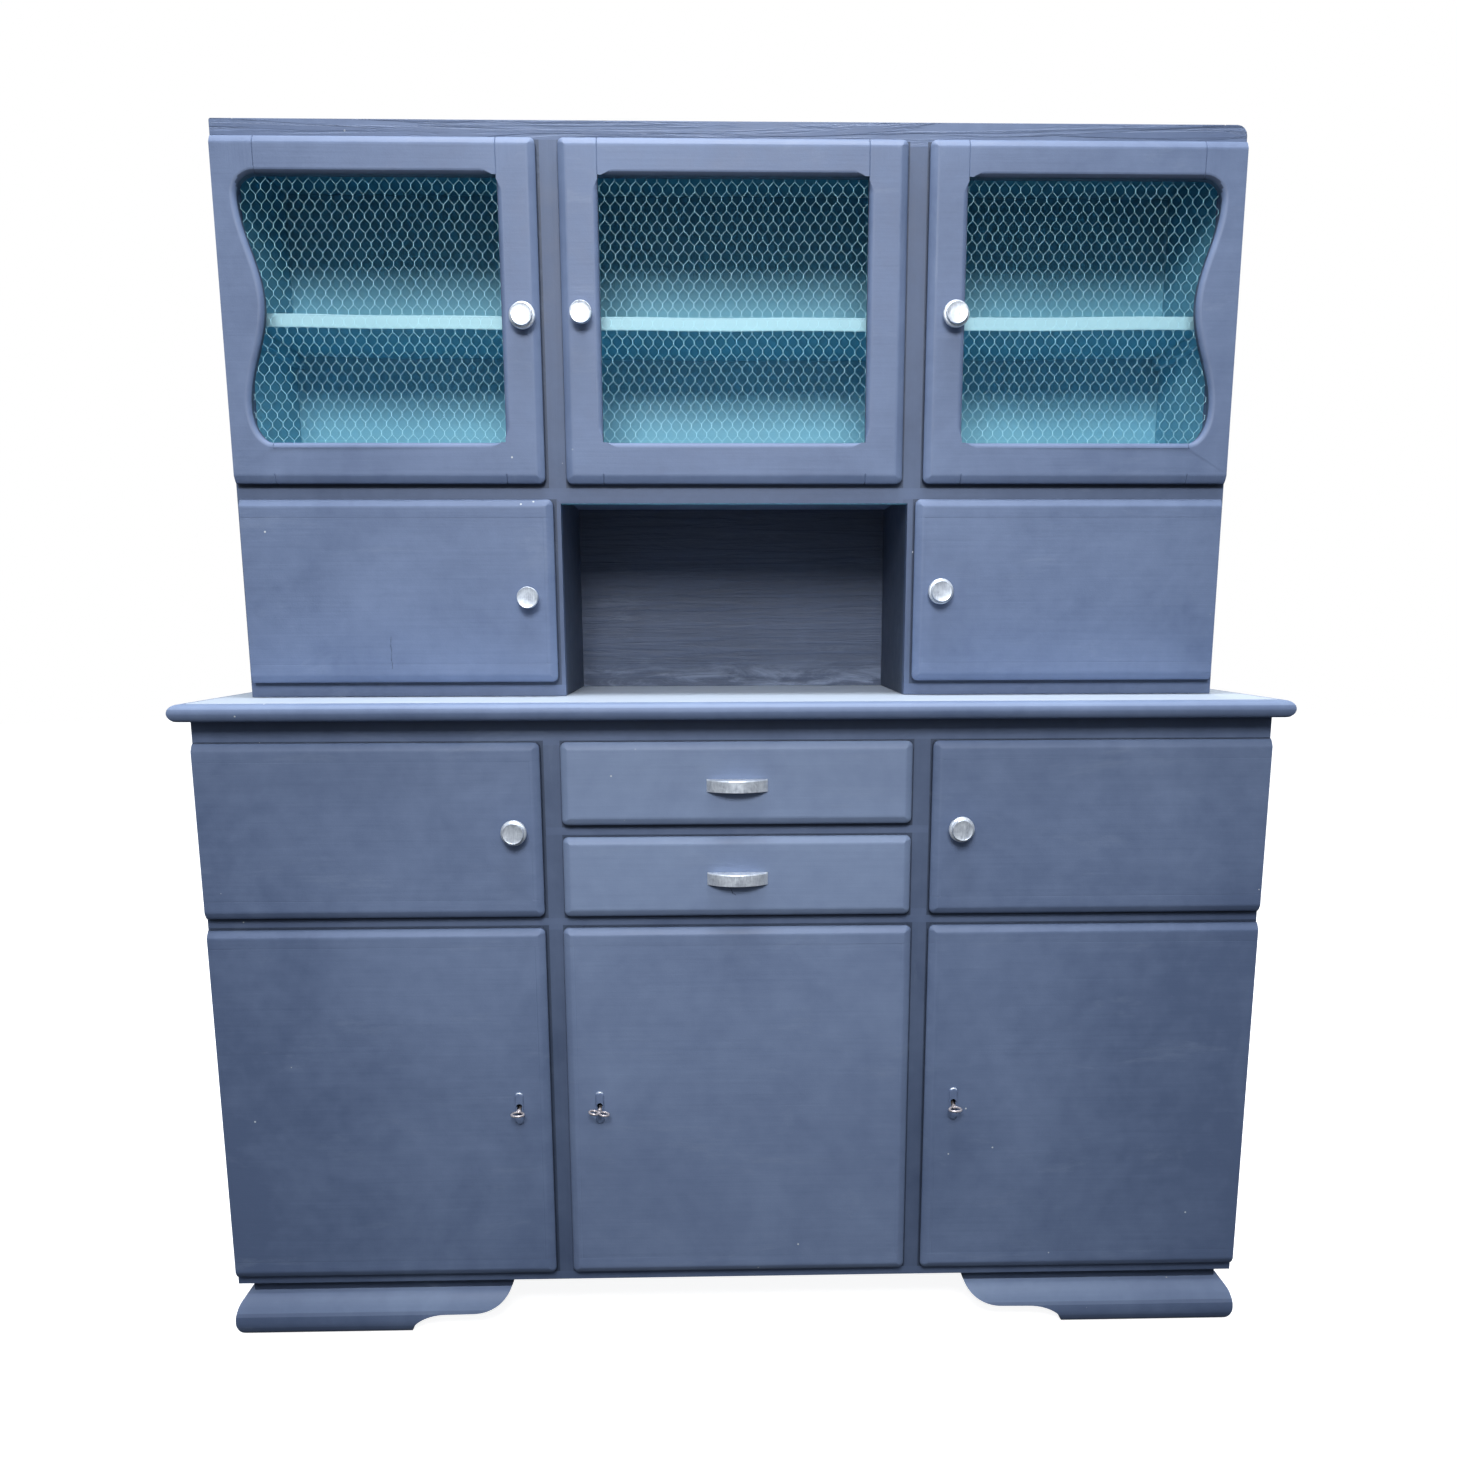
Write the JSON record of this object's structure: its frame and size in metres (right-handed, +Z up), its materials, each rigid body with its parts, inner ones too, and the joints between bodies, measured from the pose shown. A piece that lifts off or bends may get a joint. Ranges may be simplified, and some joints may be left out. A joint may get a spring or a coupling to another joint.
{
  "type": "kitchen buffet",
  "caption": "Painted two-part kitchen buffet: wire-netting doors with curved edges over an open niche, worktop, drawers, small doors and lockable doors on shaped feet.",
  "frame": {"origin": "on the floor under the centre of the bounding box", "axes": "+Z up, front towards -Y, +X to the right when facing the front"},
  "size_m": [1.638, 0.44, 1.845],
  "materials": {
    "painted_wood": "satin",
    "painted_door": "satin",
    "teal_paint": "satin",
    "raw_wood": "matte",
    "laminate": "satin",
    "netting": "galvanised",
    "aluminium": "satin",
    "steel": "worn"
  },
  "bodies": {
    "case": {"foot_left": "painted_wood", "foot_right": "painted_wood", "lower_side_left": "painted_wood", "lower_side_right": "painted_wood", "lower_bottom": "painted_wood", "lower_face_frame": "painted_wood", "worktop": "painted_wood", "upper_side_left": "painted_wood", "upper_side_right": "painted_wood", "niche_side_left": "painted_wood", "niche_side_right": "painted_wood", "upper_top": "painted_wood", "upper_face_frame": "painted_wood", "niche_ceiling": "teal_paint", "upper_shelf": "teal_paint", "upper_back": "teal_paint", "lower_partition_left": "raw_wood", "lower_partition_right": "raw_wood", "lower_middle_left": "raw_wood", "lower_middle_centre": "raw_wood", "lower_middle_right": "raw_wood", "drawer_runner_left": "raw_wood", "drawer_runner_right": "raw_wood", "lower_back": "raw_wood", "worktop_sheet": "laminate"},
    "mesh_door_left_leaf": {"mesh_door_left": "painted_door", "netting_left": "netting", "knob_upper_left": "aluminium"},
    "mesh_door_centre_leaf": {"mesh_door_centre": "painted_door", "netting_centre": "netting", "knob_upper_centre": "aluminium"},
    "mesh_door_right_leaf": {"mesh_door_right": "painted_door", "netting_right": "netting", "knob_upper_right": "aluminium"},
    "niche_door_left_leaf": {"niche_door_left": "painted_door", "knob_niche_left": "aluminium"},
    "small_door_left_leaf": {"small_door_left": "painted_door", "knob_small_left": "aluminium"},
    "niche_door_right_leaf": {"niche_door_right": "painted_door", "knob_niche_right": "aluminium"},
    "small_door_right_leaf": {"small_door_right": "painted_door", "knob_small_right": "aluminium"},
    "big_door_left_leaf": {"big_door_left": "painted_door", "lock_case_left": "steel"},
    "lock_bolt_left": {"bolt_left": "steel"},
    "lock_key_left": {"key_left": "steel"},
    "big_door_centre_leaf": {"big_door_centre": "painted_door", "lock_case_centre": "steel"},
    "lock_bolt_centre": {"bolt_centre": "steel"},
    "lock_key_centre": {"key_centre": "steel"},
    "big_door_right_leaf": {"big_door_right": "painted_door", "lock_case_right": "steel"},
    "lock_bolt_right": {"bolt_right": "steel"},
    "lock_key_right": {"key_right": "steel"},
    "drawer_upper": {"drawer_front_upper": "painted_door", "drawer_box_upper": "raw_wood", "pull_upper": "aluminium"},
    "drawer_lower": {"drawer_front_lower": "painted_door", "drawer_box_lower": "raw_wood", "pull_lower": "aluminium"}
  },
  "joints": [
    {"name": "mesh_door_left_hinge", "type": "hinge", "parent": "case", "child": "mesh_door_left_leaf", "pos_m": [-0.7485, -0.06015, 1.5789], "axis": [0, 0, -1], "range_deg": [0, 110]},
    {"name": "mesh_door_centre_hinge", "type": "hinge", "parent": "case", "child": "mesh_door_centre_leaf", "pos_m": [0.2575, -0.064, 1.5789], "axis": [0, 0, 1], "range_deg": [0, 105]},
    {"name": "mesh_door_right_hinge", "type": "hinge", "parent": "case", "child": "mesh_door_right_leaf", "pos_m": [0.7485, -0.06015, 1.5789], "axis": [0, 0, 1], "range_deg": [0, 110]},
    {"name": "niche_door_left_hinge", "type": "hinge", "parent": "case", "child": "niche_door_left_leaf", "pos_m": [-0.745, -0.06015, 1.1809], "axis": [0, 0, -1], "range_deg": [0, 110]},
    {"name": "niche_door_right_hinge", "type": "hinge", "parent": "case", "child": "niche_door_right_leaf", "pos_m": [0.745, -0.06015, 1.1809], "axis": [0, 0, 1], "range_deg": [0, 110]},
    {"name": "small_door_left_hinge", "type": "hinge", "parent": "case", "child": "small_door_left_leaf", "pos_m": [-0.8015, -0.17015, 0.8295], "axis": [0, 0, -1], "range_deg": [0, 110]},
    {"name": "small_door_right_hinge", "type": "hinge", "parent": "case", "child": "small_door_right_leaf", "pos_m": [0.8015, -0.17015, 0.8295], "axis": [0, 0, 1], "range_deg": [0, 110]},
    {"name": "big_door_left_hinge", "type": "hinge", "parent": "case", "child": "big_door_left_leaf", "pos_m": [-0.8015, -0.17015, 0.3955], "axis": [0, 0, -1], "range_deg": [0, 110]},
    {"name": "big_door_centre_hinge", "type": "hinge", "parent": "case", "child": "big_door_centre_leaf", "pos_m": [0.2691, -0.174, 0.3955], "axis": [0, 0, 1], "range_deg": [0, 105]},
    {"name": "big_door_right_hinge", "type": "hinge", "parent": "case", "child": "big_door_right_leaf", "pos_m": [0.8015, -0.17015, 0.3955], "axis": [0, 0, 1], "range_deg": [0, 110]},
    {"name": "drawer_upper_slide", "type": "slide", "parent": "case", "child": "drawer_upper", "axis": [0, -1, 0], "range_m": [0, 0.28]},
    {"name": "drawer_lower_slide", "type": "slide", "parent": "case", "child": "drawer_lower", "axis": [0, -1, 0], "range_m": [0, 0.28]},
    {"name": "key_left_turn", "type": "hinge", "parent": "big_door_left_leaf", "child": "lock_key_left", "pos_m": [-0.34, -0.19, 0.391], "axis": [0, 1, 0], "range_deg": [0, 90]},
    {"name": "bolt_left_slide", "type": "slide", "parent": "big_door_left_leaf", "child": "lock_bolt_left", "axis": [1, 0, 0], "range_m": [0, 0.01]},
    {"name": "key_centre_turn", "type": "hinge", "parent": "big_door_centre_leaf", "child": "lock_key_centre", "pos_m": [-0.2154, -0.19, 0.391], "axis": [0, -1, 0], "range_deg": [0, 90]},
    {"name": "bolt_centre_slide", "type": "slide", "parent": "big_door_centre_leaf", "child": "lock_bolt_centre", "axis": [-1, 0, 0], "range_m": [0, 0.01]},
    {"name": "key_right_turn", "type": "hinge", "parent": "big_door_right_leaf", "child": "lock_key_right", "pos_m": [0.3362, -0.19, 0.391], "axis": [0, -1, 0], "range_deg": [0, 90]},
    {"name": "bolt_right_slide", "type": "slide", "parent": "big_door_right_leaf", "child": "lock_bolt_right", "axis": [-1, 0, 0], "range_m": [0, 0.01]}
  ],
  "couplings": [
    {"joint": "key_left_turn", "follows": "bolt_left_slide", "rad_per_m": 157},
    {"joint": "key_centre_turn", "follows": "bolt_centre_slide", "rad_per_m": 157},
    {"joint": "key_right_turn", "follows": "bolt_right_slide", "rad_per_m": 157}
  ]
}
